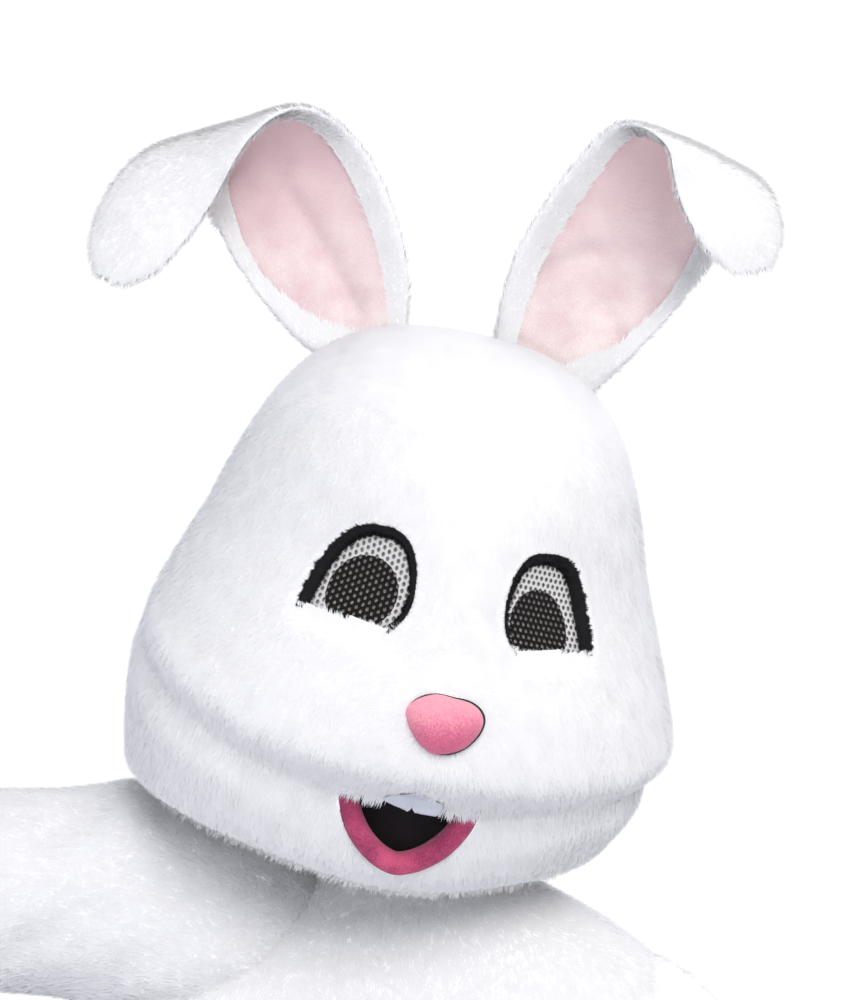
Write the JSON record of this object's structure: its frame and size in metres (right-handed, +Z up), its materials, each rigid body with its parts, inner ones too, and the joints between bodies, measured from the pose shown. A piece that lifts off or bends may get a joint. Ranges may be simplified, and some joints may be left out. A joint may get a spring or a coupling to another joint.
{
  "type": "rabbit mascot costume",
  "caption": "Worn plush rabbit mascot costume: a padded head with folded, pink-lined ears and mesh eyes over a white one-piece fur suit, an arm stretched out.",
  "frame": {"origin": "the middle of the suit's neckline, where the wearer carries it", "axes": "+Z up the standing wearer's body, -Y the way the chest faces, +X to the wearer's left"},
  "size_m": [1.1142, 0.3947, 1.967],
  "materials": {
    "white_fur": "short dense pile",
    "pink_lining": "smooth short fleece",
    "pink_nose": "padded fleece",
    "hot_pink_fleece": "padded fleece",
    "black_fur": "short dense pile",
    "eye_mesh": "open spacer mesh",
    "mouth_black": "matt knit",
    "tooth_satin": "satin"
  },
  "bodies": {
    "root": {"face": "white_fur", "jaw": "white_fur", "head_back": "white_fur", "ear_right": "white_fur", "ear_left": "white_fur", "bodice_front": "white_fur", "bodice_back_right": "white_fur", "bodice_back_left": "white_fur", "sleeve_right": "white_fur", "sleeve_left": "white_fur", "leg_right": "white_fur", "leg_left": "white_fur", "ear_lining_right": "pink_lining", "ear_lining_left": "pink_lining", "nose": "pink_nose", "lip": "hot_pink_fleece", "eye_outline_right": "black_fur", "eye_outline_left": "black_fur", "eye_mesh_right": "eye_mesh", "eye_mesh_left": "eye_mesh", "mouth_lining": "mouth_black", "tooth_right": "tooth_satin", "tooth_left": "tooth_satin"}
  },
  "joints": []
}
